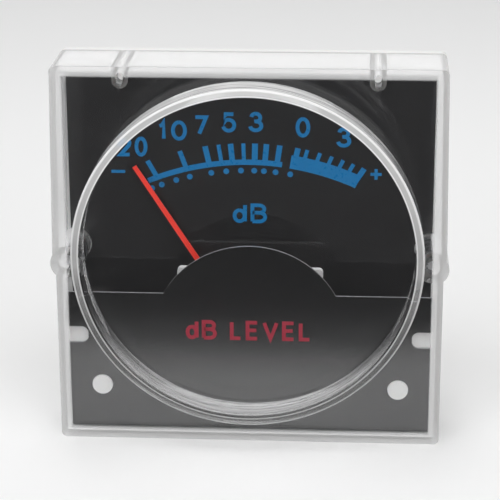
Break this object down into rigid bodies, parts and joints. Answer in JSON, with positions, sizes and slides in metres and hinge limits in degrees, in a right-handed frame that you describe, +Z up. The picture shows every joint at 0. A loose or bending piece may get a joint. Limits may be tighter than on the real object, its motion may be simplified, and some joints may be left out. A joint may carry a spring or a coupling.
{
  "type": "analog vu meter",
  "caption": "Square analog level meter with a clear front cover, raised round collar, black dial, red pointer and a moving-coil movement in a rear housing.",
  "frame": {"origin": "on the collar's axis at the front face of the square cover", "axes": "+X to the right as seen from the front, +Y from the front to the back, +Z up"},
  "size_m": [0.0566, 0.0383, 0.0556],
  "materials": {
    "clear": "clear, polished",
    "dial_black": "gloss black print coat",
    "mask_black": "satin black",
    "white_plastic": "satin moulded",
    "grey_plastic": "satin moulded",
    "screw_steel": "zinc plated",
    "iron": "dull plated iron",
    "magnet": "ground cast magnet",
    "brass": "turned",
    "bronze": "drawn spring wire",
    "copper": "enamelled wire",
    "aluminium": "thin formed sheet",
    "pointer_red": "satin red",
    "jewel": "polished",
    "scale_ink": "screen printed blue ink",
    "mask_ink": "screen printed red ink",
    "sleeve": "soft tube"
  },
  "bodies": {
    "case": {"front_cover": "clear", "mask_plate": "mask_black", "dial_plate": "dial_black", "movement_carrier": "white_plastic", "rear_housing": "white_plastic", "cover_screws": "screw_steel", "carrier_screws": "screw_steel", "dial_screws": "screw_steel", "bridge_screws": "screw_steel", "rear_bridge_screws": "screw_steel", "front_bridge": "grey_plastic", "rear_bridge": "brass", "core_magnet": "magnet", "yoke_ring": "iron", "core_saddles": "brass", "jewel_screws": "brass", "jewels": "jewel", "lock_nuts": "brass", "pointer_stops": "screw_steel", "stop_sleeves": "sleeve", "front_spring_arm": "brass", "rear_spring_anchor": "brass", "front_hairspring": "bronze", "rear_hairspring": "bronze", "terminal_studs": "brass", "terminal_washers": "brass", "solder_lugs": "brass", "terminal_nuts": "brass"},
    "needle": {"coil_former": "aluminium", "coil_winding": "copper", "pivots": "screw_steel", "pointer": "pointer_red", "pointer_cross": "aluminium", "tail_weight": "brass", "side_weights": "brass", "spring_collets": "brass"}
  },
  "joints": [
    {"name": "pointer_swing", "type": "hinge", "parent": "case", "child": "needle", "pos_m": [0, 0.0138, -0.0164], "axis": [0, 1, 0], "range_deg": [0, 70], "stiffness_Nm_per_rad": 0.00002, "springref_deg": -2.86}
  ]
}
